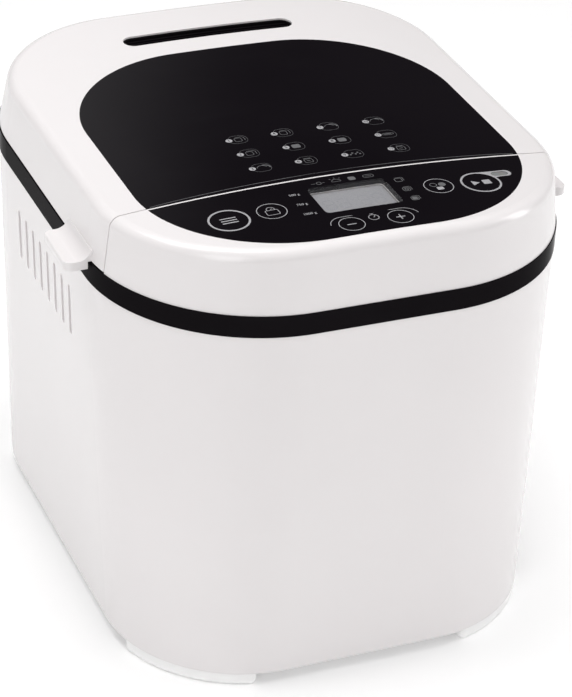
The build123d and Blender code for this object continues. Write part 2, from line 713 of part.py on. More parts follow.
def motor_housing():
    """Motor can with end plates and bearing bosses, hollow for the rotor."""
    can = rod(0, MOTOR_Y, MOTOR_LOW, MOTOR_HIGH, MOTOR_R)
    can -= rod(0, MOTOR_Y, MOTOR_LOW + 3, MOTOR_HIGH - 3, ROTOR_R + 1)
    for i in range(6):
        port = Rot(0, 0, 60 * i) * Pos(16, 0, 0) * Cylinder(4, 200)
        can -= Pos(0, MOTOR_Y, 60) * port
    return can - rod(0, MOTOR_Y, 20, 120, MOTOR_SHAFT_R + RUNNING)


def motor_shaft():
    """Rotor: long shaft with its wound core."""
    shaft = rod(0, MOTOR_Y, PULLEY_LOW - 1, MOTOR_HIGH + 12, MOTOR_SHAFT_R)
    return shaft + rod(0, MOTOR_Y, MOTOR_LOW + 12, MOTOR_HIGH - 12, ROTOR_R)


def cooling_fan():
    z0 = MOTOR_HIGH + 3
    fan = rod(0, MOTOR_Y, z0, z0 + 8, 8)
    for i in range(7):
        blade = Rot(0, 0, 360 / 7 * i) * Pos(15, 0, 0) * Rot(35, 0, 0) * Box(18, 1.4, 9)
        fan += Pos(0, MOTOR_Y, z0 + 4) * blade
    return fan - rod(0, MOTOR_Y, 0, 200, MOTOR_SHAFT_R)


def motor_bracket():
    """Bridge over the small pulley that carries the motor."""
    high = MOTOR_LOW
    plate = prism(rounded(0, MOTOR_Y, 84, 62, 8), high - 3, high)
    for x in (-38, 38):
        for y in (MOTOR_Y - 20, MOTOR_Y + 20):
            plate += rod(x, y, BASE.z + 3, high - 3, 4)
    return plate - rod(0, MOTOR_Y, 20, 60, 13)


def run_capacitor():
    """Capacitor can in a strap from the chamber's front wall."""
    wall = CHAMBER_Y - CHAMBER_HALF_Y - SHEET
    return rod(68, -100, 46, 90, 13) + box(63, 73, -90, wall, 60, 72)


def power_board():
    """Upright supply board with relay, filter coil and terminal block."""
    board = box(-98, -38, -81.6, -80, 60, 150)
    board += box(-92, -72, -97, -81.6, 118, 136)
    board += box(-66, -46, -93, -81.6, 122, 142)
    board += box(-92, -60, -91, -81.6, 66, 78)
    return board + box(-92, -64, -100, -81.6, 88, 108)


def board_brackets():
    """Two angles that hold the supply board to the chamber's front wall."""
    wall = CHAMBER_Y - CHAMBER_HALF_Y - SHEET
    return Compound(children=[box(x - 4, x + 4, -80, wall, 140, 143) for x in (-90, -44)])


# ---------- cord entry ----------


def rear_wall_y(z):
    return BASE.back + (WAIST.back - BASE.back) * (z - BASE.z) / (WAIST.z - BASE.z) - SKIN_STEP


def cord_gland():
    """Flanged bush for the mains lead, in the rear wall."""
    wall = rear_wall_y(GLAND_Z)
    bush = along_y(GLAND_X, wall - 10, wall + 1, GLAND_Z, CORD_SIZE / 2)
    flange = along_y(GLAND_X, wall + 0.6, wall + 2.8, GLAND_Z, CORD_SIZE / 2 + 3)
    return bush + flange - along_y(GLAND_X, wall - 30, wall + 30, GLAND_Z, 3.7)


# ---------- all pieces ----------

def pieces():
    named = {
        "body_shell": body_shell(),
        "trim_band": trim_band(),
        "top_deck": top_deck(),
        "base_plate": base_plate(),
        "base_screws": base_screws(),
        "control_fascia": control_fascia(),
        "control_panel": control_panel(),
        "lcd_window": lcd_window(),
        "lcd_module": lcd_module(),
        "start_lamp": start_lamp(),
        "control_board": control_board(),
        "board_posts": board_posts(),
        "button_switches": button_switches(),
        "buzzer": buzzer(),
        "lid_frame": lid_frame(),
        "lid_glass": lid_glass(),
        "vent_grille": vent_grille(),
        "hinge_pins": hinge_pins(),
        "lid_inner": lid_inner(),
        "lid_seal": lid_seal(),
        "hinge_brackets": hinge_brackets(),
        "oven_chamber": oven_chamber(),
        "heating_element": heating_element(),
        "element_insulators": element_insulators(),
        "temperature_sensor": temperature_sensor(),
        "thermal_fuse": thermal_fuse(),
        "chamber_supports": chamber_supports(),
        "bread_pan": bread_pan(),
        "pan_handle": pan_handle(),
        "pan_base": pan_base(),
        "pan_seat": pan_seat(),
        "pan_bush": pan_bush(),
        "kneading_paddle": kneading_paddle(),
        "paddle_shaft": paddle_shaft(),
        "wing_coupling": wing_coupling(),
        "drive_coupling": drive_coupling(),
        "drive_shaft": drive_shaft(),
        "spindle_bearing": spindle_bearing(),
        "large_pulley": pulley(CHAMBER_Y, BIG_PULLEY_R, SPINDLE_R, 5),
        "small_pulley": pulley(MOTOR_Y, SMALL_PULLEY_R, MOTOR_SHAFT_R, 0),
        "drive_belt": drive_belt(),
        "motor_housing": motor_housing(),
        "motor_shaft": motor_shaft(),
        "cooling_fan": cooling_fan(),
        "motor_bracket": motor_bracket(),
        "run_capacitor": run_capacitor(),
        "power_board": power_board(),
        "board_brackets": board_brackets(),
        "cord_gland": cord_gland(),
    }
    for name, x, y, radius in BUTTONS:
        named[name] = push_button(x, y, radius)
    for side_y, end in ((-1, "front"), (1, "rear")):
        for side_x, hand in ((-1, "left"), (1, "right")):
            named[f"foot_{end}_{hand}"] = foot(side_x, side_y)
    return named


os.makedirs("parts", exist_ok=True)
for node, shape in pieces().items():
    export_step(shape, f"parts/{node}.step")
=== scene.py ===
import json
import math

import bmesh
import bpy
from mathutils import Matrix, Vector
from mathutils.bvhtree import BVHTree


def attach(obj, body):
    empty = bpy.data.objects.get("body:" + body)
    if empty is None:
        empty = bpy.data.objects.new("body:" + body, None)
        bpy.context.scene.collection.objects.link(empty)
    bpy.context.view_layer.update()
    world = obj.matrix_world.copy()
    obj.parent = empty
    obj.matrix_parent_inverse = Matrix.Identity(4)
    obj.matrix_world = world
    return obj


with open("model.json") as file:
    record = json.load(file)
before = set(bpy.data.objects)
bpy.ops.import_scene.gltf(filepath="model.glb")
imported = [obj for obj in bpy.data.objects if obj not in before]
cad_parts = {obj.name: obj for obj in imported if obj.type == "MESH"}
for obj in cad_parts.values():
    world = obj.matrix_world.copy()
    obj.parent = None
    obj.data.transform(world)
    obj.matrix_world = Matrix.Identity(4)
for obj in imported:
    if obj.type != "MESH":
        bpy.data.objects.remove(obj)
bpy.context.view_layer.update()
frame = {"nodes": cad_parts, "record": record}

MM = 0.001

# ---------------------------------------------------------------- camera

AZIMUTH, ELEVATION, ROLL = -23.588, 30.739, 2.899
LENS_MM, SENSOR_MM = 143.66, 36
CAMERA_AT = Vector((-0.50105, -1.18047, 0.86646))
FARTHEST = 20


def make_camera():
    azimuth, elevation, roll = (math.radians(a) for a in (AZIMUTH, ELEVATION, ROLL))
    back = Vector((math.sin(azimuth) * math.cos(elevation),
                   -math.cos(azimuth) * math.cos(elevation),
                   math.sin(elevation)))
    right = Vector((math.cos(azimuth), math.sin(azimuth), 0))
    up = back.cross(right)
    rolled = Matrix((math.cos(roll) * right + math.sin(roll) * up,
                     -math.sin(roll) * right + math.cos(roll) * up,
                     back)).transposed()
    data = bpy.data.cameras.new("camera")
    data.lens = LENS_MM
    data.sensor_width = SENSOR_MM
    data.clip_end = FARTHEST
    camera = bpy.data.objects.new("camera", data)
    camera.matrix_world = Matrix.Translation(CAMERA_AT) @ rolled.to_4x4()
    bpy.context.scene.collection.objects.link(camera)
    bpy.context.scene.camera = camera


make_camera()

# ---------------------------------------------------------------- node helpers


class Shader:
    """One procedural material: a Principled shader and the noise that varies it."""

    def __init__(self, name):
        self.material = bpy.data.materials.new(name)
        self.material.use_nodes = True
        self.tree = self.material.node_tree
        self.bsdf = self.tree.nodes["Principled BSDF"]
        self.place = self.tree.nodes.new("ShaderNodeTexCoord").outputs["Object"]

    def link(self, source, target):
        self.tree.links.new(source, target)

    def uniform(self, **values):
        for key, value in values.items():
            self.bsdf.inputs[key.replace("_", " ")].default_value = value

    def stretched(self, stretch):
        node = self.tree.nodes.new("ShaderNodeMapping")
        node.inputs["Scale"].default_value = stretch
        self.link(self.place, node.inputs["Vector"])
        return node.outputs["Vector"]

    def noise(self, scale, detail=2.0, stretch=(1, 1, 1), rough=0.5):
        """Fractal noise, with its scale in features per metre."""
        node = self.tree.nodes.new("ShaderNodeTexNoise")
        node.inputs["Scale"].default_value = scale
        node.inputs["Detail"].default_value = detail
        node.inputs["Roughness"].default_value = rough
        self.link(self.stretched(stretch), node.inputs["Vector"])
        return node.outputs["Fac"]

    def cells(self, scale, output="Color"):
        node = self.tree.nodes.new("ShaderNodeTexVoronoi")
        node.inputs["Scale"].default_value = scale
        self.link(self.place, node.inputs["Vector"])
        return node.outputs[output]

    def span(self, value, low, high, start=0.3, stop=0.7):
        """Maps start..stop of a value to low..high."""
        node = self.tree.nodes.new("ShaderNodeMapRange")
        node.inputs["From Min"].default_value = start
        node.inputs["From Max"].default_value = stop
        node.inputs["To Min"].default_value = low
        node.inputs["To Max"].default_value = high
        self.link(value, node.inputs["Value"])
        return node.outputs["Result"]

    def tones(self, value, first, second):
        """Runs from the first colour to the second as a noise value rises."""
        node = self.tree.nodes.new("ShaderNodeMix")
        node.data_type = "RGBA"
        self.link(self.span(value, 0, 1), node.inputs["Factor"])
        node.inputs["A"].default_value = (*first, 1)
        node.inputs["B"].default_value = (*second, 1)
        return node.outputs["Result"]

    def over(self, value, under, top):
        """Covers one colour output with a plain colour where the value is high."""
        node = self.tree.nodes.new("ShaderNodeMix")
        node.data_type = "RGBA"
        self.link(value, node.inputs["Factor"])
        self.link(under, node.inputs["A"])
        node.inputs["B"].default_value = (*top, 1)
        return node.outputs["Result"]

    def colour(self, output):
        self.link(output, self.bsdf.inputs["Base Color"])

    def roughness(self, output):
        self.link(output, self.bsdf.inputs["Roughness"])

    def relief(self, height, strength, depth_mm):
        """Adds a bump, on top of any relief that the shader has already."""
        node = self.tree.nodes.new("ShaderNodeBump")
        node.inputs["Strength"].default_value = strength
        node.inputs["Distance"].default_value = depth_mm * MM
        self.link(height, node.inputs["Height"])
        normal = self.bsdf.inputs["Normal"]
        if normal.is_linked:
            self.link(normal.links[0].from_socket, node.inputs["Normal"])
        self.link(node.outputs["Normal"], normal)


def shade(rgb, factor):
    return tuple(min(1.0, c * factor) for c in rgb)


# ---------------------------------------------------------------- materials


def gloss_plastic(name, rgb, rough, coat, vary, peel, **extra):
    """Polished moulding: faint flow marks, hardly uneven gloss and a slight orange peel."""
    s = Shader(name)
    s.colour(s.tones(s.noise(9, 3), shade(rgb, 1 - vary), shade(rgb, 1 + vary)))
    s.roughness(s.span(s.noise(25, 1), rough * 0.97, rough * 1.03))
    s.relief(s.noise(60, 1), peel, 0.02)
    s.uniform(Coat_Weight=coat, Coat_Roughness=0.06, Coat_IOR=1.5, **extra)
    return s.material


def grained_plastic(name, rgb, rough, grain_mm=0.35, depth_mm=0.03, vary=0.08):
    """Spark-eroded moulding: even fine grain with a rubbed look on the high spots."""
    s = Shader(name)
    grain = s.noise(1 / (grain_mm * MM), 2)
    s.colour(s.tones(s.noise(14, 4), shade(rgb, 1 - vary), shade(rgb, 1 + vary)))
    s.roughness(s.span(grain, rough * 1.15, rough * 0.85))
    s.relief(grain, 0.5, depth_mm)
    return s.material


def sheet_metal(name, rgb, rough, stretch, spangle=0.0, line_mm=0.25):
    """Rolled or brushed metal: lines along the sheet, optional zinc or aluminium spangle."""
    s = Shader(name)
    lines = s.noise(1 / (line_mm * MM * 6), 3, stretch)
    base = s.tones(lines, shade(rgb, 0.88), shade(rgb, 1.08))
    if spangle:
        grey = s.tree.nodes.new("ShaderNodeRGBToBW")
        s.link(s.cells(140), grey.inputs["Color"])
        base = s.over(s.span(grey.outputs["Val"], 0, spangle, 0.2, 0.8), base, shade(rgb, 1.35))
        s.relief(s.cells(140, "Distance"), 0.05, 0.05)
    s.colour(base)
    s.roughness(s.span(s.noise(40, 5), rough * 0.8, rough * 1.25))
    s.relief(lines, 0.12, 0.02)
    s.uniform(Metallic=1.0)
    return s.material


def tinted_glass():
    """Back-painted black glass: a deep violet-black, with smears only in the gloss."""
    s = Shader("black_glass")
    s.colour(s.tones(s.noise(5, 2), (0.0052, 0.0040, 0.0056), (0.0085, 0.0068, 0.0088)))
    s.roughness(s.span(s.noise(30, 6, (1, 2.2, 1), 0.7), 0.045, 0.11))
    s.relief(s.noise(4, 1), 0.02, 0.4)
    s.uniform(IOR=1.5, Coat_Weight=0.15, Coat_Roughness=0.03)
    return s.material


def smoked_window():
    s = Shader("smoked_window")
    s.colour(s.tones(s.noise(20, 3), (0.10, 0.10, 0.105), (0.13, 0.13, 0.135)))
    s.roughness(s.span(s.noise(60, 4), 0.05, 0.12))
    s.uniform(Alpha=0.16, IOR=1.5, Coat_Weight=0.2)
    return s.material


def display_grey():
    """Liquid-crystal cell: silvery grey with the reflector's very fine sparkle."""
    s = Shader("display_grey")
    sparkle = s.noise(4200, 1)
    s.colour(s.tones(sparkle, (0.46, 0.46, 0.485), (0.54, 0.54, 0.565)))
    s.roughness(s.span(s.noise(300, 3), 0.42, 0.6))
    s.relief(sparkle, 0.1, 0.01)
    return s.material


def foot_plastic():
    """Milky moulding that lets a little light through."""
    s = Shader("foot_plastic")
    s.colour(s.tones(s.noise(40, 3), (0.91, 0.905, 0.905), (0.96, 0.955, 0.95)))
    s.roughness(s.span(s.noise(900, 2), 0.32, 0.46))
    s.relief(s.noise(1500, 2), 0.15, 0.02)
    s.uniform(Subsurface_Weight=0.35, Subsurface_Scale=0.004, Subsurface_Radius=(1.0, 1.0, 1.0))
    return s.material


def pan_coating():
    """Baked non-stick coating: dark with mineral flecks and faint rub marks."""
    s = Shader("pan_coating")
    base = s.tones(s.noise(22, 4), (0.030, 0.030, 0.033), (0.048, 0.047, 0.050))
    flecks = s.span(s.noise(1500, 2, rough=0.6), 0, 0.55, 0.66, 0.78)
    s.colour(s.over(flecks, base, (0.30, 0.29, 0.28)))
    s.roughness(s.span(s.noise(180, 5), 0.30, 0.48))
    s.relief(s.noise(700, 3), 0.25, 0.03)
    s.uniform(Metallic=0.25, Specular_IOR_Level=0.6)
    return s.material


def circuit():
    """Solder mask with copper tracks just showing through."""
    s = Shader("circuit")
    tracks = s.tree.nodes.new("ShaderNodeTexBrick")
    tracks.inputs["Scale"].default_value = 180
    tracks.inputs["Mortar Size"].default_value = 0.03
    s.link(s.place, tracks.inputs["Vector"])
    base = s.tones(s.noise(60, 3), (0.008, 0.085, 0.030), (0.012, 0.12, 0.045))
    s.colour(s.over(tracks.outputs["Fac"], base, (0.03, 0.20, 0.07)))
    s.roughness(s.span(s.noise(400, 3), 0.28, 0.42))
    s.relief(tracks.outputs["Fac"], 0.3, 0.04)
    return s.material


def ceramic():
    s = Shader("ceramic")
    pores = s.noise(2200, 3, rough=0.7)
    s.colour(s.tones(pores, (0.66, 0.63, 0.56), (0.78, 0.76, 0.70)))
    s.roughness(s.span(pores, 0.65, 0.85))
    s.relief(pores, 0.4, 0.05)
    return s.material


def rubber(name, rgb, rough, depth=0.25):
    s = Shader(name)
    s.colour(s.tones(s.noise(120, 4), shade(rgb, 0.85), shade(rgb, 1.15)))
    s.roughness(s.span(s.noise(500, 3), rough * 0.9, rough * 1.15))
    s.relief(s.noise(1600, 3), depth, 0.03)
    return s.material


def oxidised_tube():
    """Heater sheath: brown and grey temper colours along the tube."""
    s = Shader("tube")
    s.colour(s.tones(s.noise(24, 3), (0.15, 0.13, 0.12), (0.24, 0.17, 0.11)))
    s.roughness(s.span(s.noise(500, 4), 0.35, 0.6))
    s.relief(s.noise(1300, 3), 0.2, 0.03)
    s.uniform(Metallic=0.85)
    return s.material


def sintered_bronze():
    s = Shader("bearing")
    pores = s.noise(3000, 2)
    s.colour(s.tones(pores, (0.38, 0.24, 0.10), (0.56, 0.38, 0.17)))
    s.roughness(s.span(pores, 0.3, 0.5))
    s.relief(pores, 0.2, 0.02)
    s.uniform(Metallic=1.0)
    return s.material


def ink(name, rgb):
    """Screen-printed ink: slightly uneven lay-down with a matt surface."""
    s = Shader(name)
    s.colour(s.tones(s.noise(900, 3), shade(rgb, 0.9), shade(rgb, 1.08)))
    s.roughness(s.span(s.noise(1500, 2), 0.4, 0.6))
    s.relief(s.noise(3000, 2), 0.1, 0.01)
    return s.material


MATERIALS = {
    "white_shell": gloss_plastic("white_shell", (0.80, 0.772, 0.774), rough=0.24,
                                 coat=0.35, vary=0.012, peel=0.02),
    # Its low index keeps the band black where it mirrors the pale floor
    "black_band": gloss_plastic("black_band", (0.006, 0.005, 0.006), rough=0.14,
                                coat=0.03, vary=0.2, peel=0.03, IOR=1.03),
    "black_glass": tinted_glass(),
    "smoked_window": smoked_window(),
    "display_grey": display_grey(),
    "foot_plastic": foot_plastic(),
    "inner_plastic": grained_plastic("inner_plastic", (0.022, 0.022, 0.024), rough=0.5),
    "lamp": gloss_plastic("lamp", (0.20, 0.20, 0.20), rough=0.35, coat=0.1, vary=0.05, peel=0.05,
                          Subsurface_Weight=0.2, Subsurface_Scale=0.002),
    "circuit": circuit(),
    "component": grained_plastic("component", (0.018, 0.018, 0.02), rough=0.45,
                                 grain_mm=0.2, depth_mm=0.02),
    "sheet_steel": sheet_metal("sheet_steel", (0.46, 0.46, 0.455), rough=0.36,
                               stretch=(1, 1, 14), spangle=0.3),
    "steel": sheet_metal("steel", (0.52, 0.52, 0.53), rough=0.24,
                         stretch=(18, 1, 1), line_mm=0.15),
    "pan_coating": pan_coating(),
    "ceramic": ceramic(),
    "silicone": rubber("silicone", (0.38, 0.375, 0.37), rough=0.55),
    "belt": rubber("belt", (0.015, 0.015, 0.015), rough=0.7, depth=0.5),
    "bearing": sintered_bronze(),
    "pulley": grained_plastic("pulley", (0.62, 0.60, 0.54), rough=0.42,
                              grain_mm=0.3, depth_mm=0.02, vary=0.04),
    "tube": oxidised_tube(),
    "gland": rubber("gland", (0.02, 0.02, 0.02), rough=0.6),
}
PRINT_GREY = ink("print_grey", (0.36, 0.355, 0.37))
PRINT_FAINT = ink("print_faint", (0.085, 0.085, 0.09))
# The dim ink also draws the painted highlight along the crease on the lid glass.
DIM_PRINT_AND_HIGHLIGHT = ink("dim_print_and_highlight", (0.12, 0.12, 0.125))
PRINT_BLACK = ink("print_black", (0.01, 0.01, 0.011))
SEGMENT = ink("segment", (0.46, 0.46, 0.485))

for part in frame["record"]["subparts"]:
    dressed = frame["nodes"][part["node"]].data.materials
    dressed.clear()
    dressed.append(MATERIALS[part["material_slot"]])

# ---------------------------------------------------------------- printed marks
# Marks are drawn in plan, in millimetres. A mark is a list of closed loops, holes
# included, or (words, x, y, size) for text.

PRINT_LIFT = 0.04
PRINT_THICK = 0.03
WELD_MM = 1e-4
RAY_START = 0.4


def arc(x, y, r, start, stop, steps):
    angles = [math.radians(start + (stop - start) * i / steps) for i in range(steps + 1)]
    return [(x + r * math.cos(a), y + r * math.sin(a)) for a in angles]


def circle(x, y, r, steps=56):
    return arc(x, y, r, 0, 360, steps)[:-1]


def rounded(x, y, wide, high, r, steps=7):
    w, h = wide / 2 - r, high / 2 - r
    corners = ((w, h, 0), (-w, h, 90), (-w, -h, 180), (w, -h, 270))
    return [p for dx, dy, a in corners for p in arc(x + dx, y + dy, r, a, a + 90, steps)]


def shifted(path, distance, closed):
    """The path moved sideways by a distance."""
    moved = []
    last = len(path) - 1
    for i, (x, y) in enumerate(path):
        before = path[i - 1] if i or closed else path[i]
        after = path[(i + 1) % len(path)] if i < last or closed else path[i]
        dx, dy = after[0] - before[0], after[1] - before[1]
        size = math.hypot(dx, dy) or 1.0
        moved.append((x - dy / size * distance, y + dx / size * distance))
    return moved


def stroke(path, width):
    return [shifted(path, width / 2, False) + shifted(path, -width / 2, False)[::-1]]


def outline(path, width):
    return [shifted(path, width / 2, True), shifted(path, -width / 2, True)]


def ring(centre, outer, inner):
    return [circle(*centre, outer), circle(*centre, inner)]


def to_mesh(curve):
    holder = bpy.data.objects.new("holder", curve)
    bpy.context.scene.collection.objects.link(holder)
    mesh = bpy.data.meshes.new_from_object(holder)
    bpy.data.objects.remove(holder)
    bpy.data.curves.remove(curve)
    return mesh


def loops_mesh(loops):
    """Fills 2-D loops as a thin closed slab."""
    curve = bpy.data.curves.new("loops", "CURVE")
    curve.dimensions = "2D"
    curve.fill_mode = "BOTH"
    curve.extrude = PRINT_THICK / 2
    for loop in loops:
        spline = curve.splines.new("POLY")
        spline.points.add(len(loop) - 1)
        for point, (x, y) in zip(spline.points, loop):
            point.co = (x, y, 0, 1)
        spline.use_cyclic_u = True
    return to_mesh(curve)


def text_mesh(words, x, y, size):
    curve = bpy.data.curves.new("words", "FONT")
    curve.body = words
    curve.size = size
    curve.align_x = "CENTER"
    curve.align_y = "CENTER"
    curve.extrude = PRINT_THICK / 2
    curve.offset = size * 0.004
    curve.resolution_u = 4
    mesh = to_mesh(curve)
    mesh.transform(Matrix.Translation((x, y, 0)))
    return mesh


def skin_of(node):
    """A search tree over a CAD node, for laying print on its upper surface."""
    mesh = frame["nodes"][node].data
    return BVHTree.FromPolygons([v.co.copy() for v in mesh.vertices],
                                [list(f.vertices) for f in mesh.polygons])


def lay(name, marks, node, body, material, lift=PRINT_LIFT):
    """Joins marks into one piece, and lays it on a node's upper surface."""
    bm = bmesh.new()
    for mark in marks:
        mesh = text_mesh(*mark) if isinstance(mark[0], str) else loops_mesh(mark)
        bm.from_mesh(mesh)
        bpy.data.meshes.remove(mesh)
    bmesh.ops.remove_doubles(bm, verts=bm.verts, dist=WELD_MM)
    tree = skin_of(node)
    for vert in bm.verts:
        top = Vector((vert.co.x * MM, vert.co.y * MM, RAY_START))
        hit = tree.ray_cast(top, Vector((0, 0, -1)))[0] or tree.find_nearest(top)[0]
        vert.co = Vector((top.x, top.y, hit.z + (vert.co.z + lift) * MM))
    mesh = bpy.data.meshes.new(name)
    bm.to_mesh(mesh)
    bm.free()
    piece = bpy.data.objects.new(name, mesh)
    bpy.context.scene.collection.objects.link(piece)
    mesh.materials.append(material)
    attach(piece, body)


# ---- control panel: rings round the keys, and the marks between them

MENU, START = (-65.8, -109.2), (65.8, -109.2)
LOAF, TONE = (-43.6, -107.8), (43.6, -107.8)
MINUS, PLUS = (-12.6, -132.0), (12.6, -132.0)
LAMP = (79.0, -102.4)
BIG, SMALL, MINI = 9.25, 7.05, 6.05
FINE = 0.3


def lamp_tag():
    """The pale tag that joins the start key's ring to its lamp, with the lamp's hole."""
    x, y = LAMP
    edge = (arc(*START, BIG + 1.0, 18, 84, 14) + [(x - 4.2, y + 3.0)]
            + arc(x + 3.2, y, 3.0, 90, -90, 14) + [(x - 1.0, y - 3.0)])
    return [edge, rounded(x, y, 8.8, 4.0, 1.99)]


def key_rings():
    fine = [ring(centre, SMALL + 0.45, SMALL + 0.05) for centre in (LOAF, TONE)]
    return fine + [ring(centre, MINI + 0.4, MINI + 0.05) for centre in (MINUS, PLUS)]


def weights():
    """The loaf weights left of the display."""
    rows = (("500 g", -96.3), ("750 g", -106.3), ("1000 g", -116.1))
    return [(words, -27.5, y, 2.5) for words, y in rows]


def timer():
    """A bracket over both small keys, and a dial between them."""
    bracket = arc(-15.2, -131.4, 7.4, 172, 96, 10) + arc(15.2, -131.4, 7.4, 84, 8, 10)
    return [stroke(bracket, 0.32), outline(circle(0, -128.9, 2.5, 32), 0.34),
            stroke([(0, -128.9), (1.3, -127.4)], 0.34),
            stroke([(0, -126.4), (0, -125.5)], 0.4),
            stroke([(-1.0, -125.5), (1.0, -125.5)], 0.34)]


def stage_icons():
    """Knead, rise, bake and keep warm, over the display."""
    knead = [stroke([(-15.6, -89.0), (-13.6, -89.0)], FINE),
             outline(circle(-11.6, -89.0, 1.2, 20), FINE),
             stroke([(-9.8, -89.0), (-8.6, -89.0)], FINE)]
    rise = [outline(arc(-2.6, -89.8, 2.4, 0, 180, 12), FINE),
            stroke([(-2.6, -86.6), (-2.6, -85.6)], FINE),
            stroke([(-0.4, -87.2), (0.2, -86.4)], FINE),
            stroke([(-4.8, -87.2), (-5.4, -86.4)], FINE)]
    bake = [[rounded(5.7, -88.9, 3.6, 3.4, 0.9)]]
    warm = [outline(rounded(14.5, -88.7, 5.4, 2.8, 1.3), FINE),
            stroke([(12.9, -88.7), (16.1, -88.7)], FINE)]
    return knead + rise + bake + warm


def crust_icons():
    """Pale, medium and dark loaves, right of the display."""
    x, pale, medium, dark = 27.0, -96.9, -106.8, -116.7
    icons = []
    for y in (pale, medium, dark):
        side = [(x - 0.8, y + 2.4), (x + 2.2, y + 2.4), (x + 2.7, y + 1.9), (x + 2.7, y - 1.0)]
        icons += [outline(rounded(x, y, 3.6, 3.4, 0.9), 0.35), stroke(side, FINE)]
    return icons + [outline(rounded(x, medium, 1.6, 1.5, 0.4), 0.4),
                    [rounded(x, dark, 2.6, 2.4, 0.5)]]


big_rings = [ring(centre, BIG + 1.05, BIG + 0.02) for centre in (MENU, START)]
lay("panel_rings", big_rings + [lamp_tag()], "control_panel", "housing", PRINT_GREY)
lay("panel_marks", key_rings() + weights() + timer(), "control_panel", "housing", PRINT_GREY)
lay("panel_icons", stage_icons() + crust_icons(), "control_panel", "housing", DIM_PRINT_AND_HIGHLIGHT)

# ---- marks on the keys themselves


def menu_bars(x, y):
    return [stroke([(x - 4, y + dy), (x + 4, y + dy)], 0.75) for dy in (2.2, 0, -2.2)]


def play_and_stop(x, y):
    return [[[(x - 4.6, y + 2.3), (x - 4.6, y - 2.3), (x - 0.7, y)]],
            [rounded(x + 3.1, y, 4.2, 4.2, 0.4)]]


def loaf_in_tin(x, y):
    return [outline(rounded(x, y - 1.2, 6.4, 4.6, 0.8), 0.32),
            stroke(arc(x, y + 1.9, 2.0, -30, 210, 14), 0.32),
            stroke([(x, y + 1.6), (x + 0.8, y + 2.7)], FINE)]


def two_tones(x, y):
    return [ring((x - 2.2, y + 1.6), 1.9, 1.5), [circle(x + 2.3, y + 1.3, 1.9)]]


def plus_sign(x, y, arm=2.323, half=0.3):
    corners = [(half, half), (half, arm), (-half, arm)]
    for _ in range(3):
        corners += [(-b, a) for a, b in corners[-3:]]
    return [[[(x + a, y + b) for a, b in corners]]]


def mark_key(name, marks, key, material=PRINT_GREY):
    lay(name, marks, key, key, material)


mark_key("menu_mark", menu_bars(*MENU), "menu_button")
mark_key("start_mark", play_and_stop(*START), "start_button")
mark_key("loaf_mark", loaf_in_tin(*LOAF), "crust_button")
mark_key("tone_mark", two_tones(*TONE), "size_button", DIM_PRINT_AND_HIGHLIGHT)
mark_key("tone_pale", [[rounded(TONE[0] - 0.1, TONE[1] - 2.4, 3.4, 2.8, 0.5)]], "size_button")
mark_key("minus_mark", [stroke([(MINUS[0] - 2.3, MINUS[1]), (MINUS[0] + 2.3, MINUS[1])], 0.6)],
         "minus_button")
mark_key("plus_mark", plus_sign(*PLUS), "plus_button")

# ---- programme list on the lid glass: numbers run down each column

ROWS = (-32.9, -48.6, -64.7)
COLUMNS = (-33.0, -8.8, 16.0, 41.0)
HAIR = 0.28
DISC_LIFT, NUMBER_LIFT = PRINT_LIFT + 0.02, PRINT_LIFT + 0.06


def loaf_icon(x, y):
    side = [(x - 1.4, y + 2.3), (x + 2.2, y + 2.3), (x + 2.9, y + 1.5), (x + 2.9, y - 1.6)]
    return [outline(rounded(x - 0.5, y - 0.3, 3.6, 3.8, 0.9), HAIR), stroke(side, HAIR)]


def dark_loaf_icon(x, y):
    return [[rounded(x, y, 4.4, 3.8, 1.0)]]


def slice_icon(x, y):
    return [stroke(arc(x - 0.2, y - 0.6, 2.6, 20, 170, 14), HAIR),
            stroke(arc(x + 1.2, y - 0.4, 2.6, -10, 110, 14), 0.7)]


def long_loaf_icon(x, y, steps=28):
    turns = [math.tau * i / steps for i in range(steps)]
    return [outline([(x + 3.2 * math.cos(t), y + 1.0 * math.sin(t)) for t in turns], HAIR),
            stroke([(x - 1.8, y), (x + 1.8, y + 0.1)], 0.5)]


def grain_icon(x, y):
    spots = ((-2.4, -0.6), (-1.0, 0.8), (0.4, -0.4), (1.8, 0.9), (2.6, -0.7))
    return [[circle(x + dx, y + dy, 0.55, 16)] for dx, dy in spots]


def jar_icon(x, y):
    return [outline(rounded(x, y - 0.4, 4.2, 3.6, 0.7), HAIR),
            stroke([(x - 1.8, y + 2.1), (x + 1.8, y + 2.1)], 0.4),
            stroke([(x - 0.9, y - 0.4), (x + 0.9, y - 0.4)], 0.4)]


ICONS = ((loaf_icon, loaf_icon, slice_icon, slice_icon),
         (loaf_icon, dark_loaf_icon, dark_loaf_icon, long_loaf_icon),
         (slice_icon, jar_icon, grain_icon, jar_icon))

pills, icons, discs, numbers = [], [], [], []
for row, y in enumerate(ROWS):
    for column, x in enumerate(COLUMNS):
        number = row + len(ROWS) * column + 1
        pills.append(outline(rounded(x + 1.3, y, 9.6, 8.2, 3.4), 0.2))
        icons += ICONS[row][column](x + 1.8, y)
        discs.append([circle(x - 3.5, y, 1.75, 32)])
        numbers.append((str(number), x - 3.5, y, 3.0 if number < 10 else 2.4))

lay("programme_frames", pills, "lid_glass", "lid", PRINT_FAINT)
lay("programme_icons", icons, "lid_glass", "lid", DIM_PRINT_AND_HIGHLIGHT)
lay("programme_discs", discs, "lid_glass", "lid", PRINT_GREY, lift=DISC_LIFT)
lay("programme_numbers", numbers, "lid_glass", "lid", PRINT_BLACK, NUMBER_LIFT)

# ---- painted highlight: a thin grey line along the polished crease just behind the lid glass's front edge

SPLIT_MIDDLE_Y, SPLIT_RADIUS = -82.0, 2090.0
CREASE_HALF, CREASE_STEP, CREASE_BOW = 96, 4, 2.5


def split_y(x):
    """The seam between lid and fascia."""
    return SPLIT_MIDDLE_Y - SPLIT_RADIUS + math.sqrt(SPLIT_RADIUS ** 2 - x * x)


